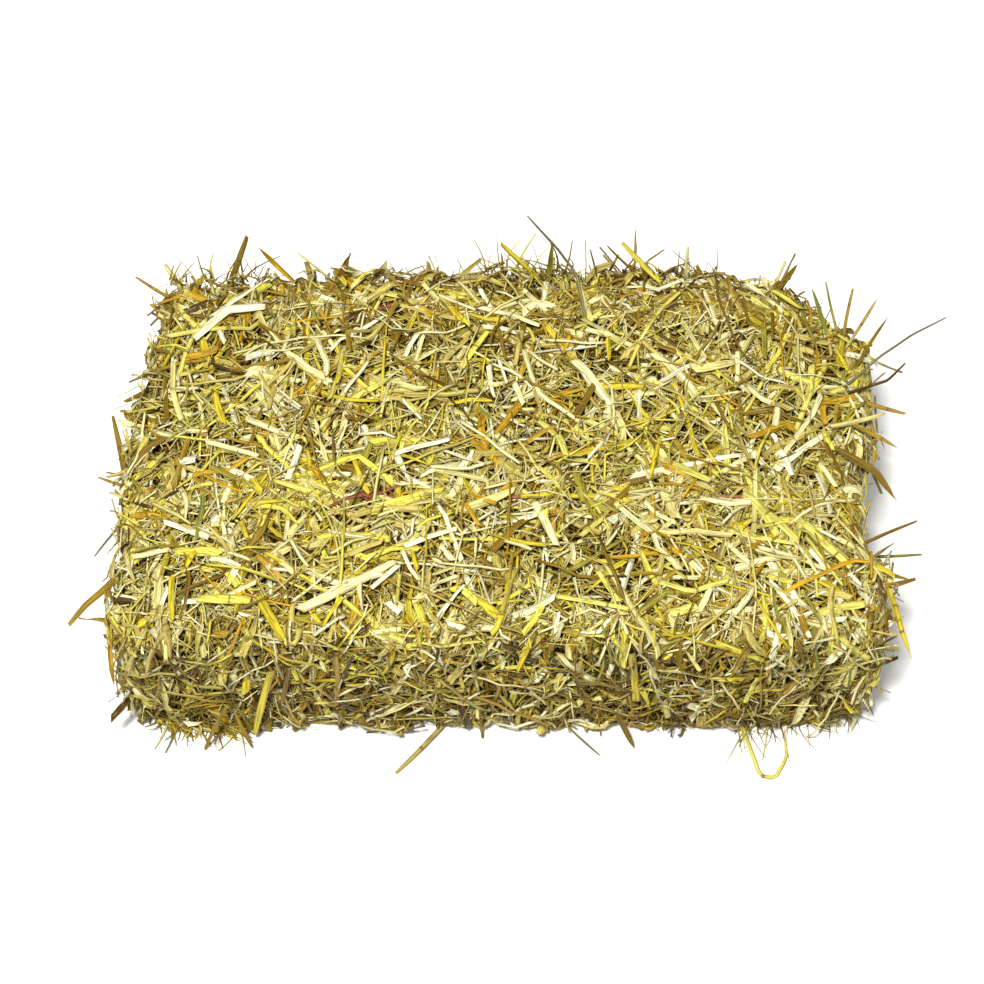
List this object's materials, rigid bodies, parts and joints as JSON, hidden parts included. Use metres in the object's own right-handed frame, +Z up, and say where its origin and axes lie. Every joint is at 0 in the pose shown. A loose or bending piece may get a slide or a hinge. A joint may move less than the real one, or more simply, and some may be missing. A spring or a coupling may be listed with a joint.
{
  "type": "square straw bale",
  "caption": "Square bale of pressed yellow straw, tied lengthwise with dull red twine, with loose straws standing out along its edges.",
  "frame": {"origin": "centre of the bale's flat underside, between its ends and its long sides", "axes": "+X along the bale's length and its twines, +Y towards the back, +Z up"},
  "size_m": [0.5827, 0.338, 0.2026],
  "materials": {
    "pressed_straw": "matte",
    "bright_straw": "satin",
    "weathered_straw": "matte",
    "twine": "matte"
  },
  "bodies": {
    "root": {"flake_1": "pressed_straw", "flake_2": "pressed_straw", "flake_3": "pressed_straw", "flake_4": "pressed_straw", "flake_5": "pressed_straw", "flake_6": "pressed_straw", "flake_7": "pressed_straw", "straw_back_brown": "weathered_straw", "straw_back_dark": "weathered_straw", "straw_back_green": "weathered_straw", "straw_back_left_blade": "bright_straw", "straw_back_left_thin": "bright_straw", "straw_back_middle_blade": "bright_straw", "straw_back_pale": "bright_straw", "straw_back_tall_stem": "weathered_straw", "straw_back_thick": "weathered_straw", "straw_back_thin": "weathered_straw", "straw_back_tuft": "weathered_straw", "straw_back_yellow_blade": "bright_straw", "straw_floor_bent": "bright_straw", "straw_floor_brown": "weathered_straw", "straw_floor_tan": "weathered_straw", "straw_floor_thin": "weathered_straw", "straw_front_golden": "bright_straw", "straw_front_left": "weathered_straw", "straw_front_left_short": "weathered_straw", "straw_left_brown": "weathered_straw", "straw_left_corner_high": "bright_straw", "straw_left_corner_low": "weathered_straw", "straw_left_golden": "bright_straw", "straw_left_grey": "weathered_straw", "straw_left_short": "weathered_straw", "straw_left_tan": "weathered_straw", "straw_right_back_blade": "weathered_straw", "straw_right_brown_leaf": "weathered_straw", "straw_right_corner_blade": "bright_straw", "straw_right_corner_upright": "weathered_straw", "straw_right_dark_curved": "weathered_straw", "straw_right_golden_leaf": "bright_straw", "straw_right_green_thin": "weathered_straw", "straw_right_green_wide": "weathered_straw", "straw_right_grey_stem": "weathered_straw", "straw_right_level": "bright_straw", "straw_right_lower_tan": "weathered_straw", "straw_right_spray_back": "weathered_straw", "straw_right_spray_front": "weathered_straw", "straw_right_spray_low": "weathered_straw", "straw_right_spray_middle": "weathered_straw", "straw_right_upper_tan": "weathered_straw", "straw_top_bright": "bright_straw", "straw_top_golden": "bright_straw", "straw_top_long_pale": "bright_straw", "straw_top_long_split": "bright_straw", "straw_top_right_pale": "bright_straw", "straw_top_white_bent": "bright_straw", "straw_top_yellow": "bright_straw", "twine_back": "twine", "twine_front": "twine"}
  },
  "joints": []
}
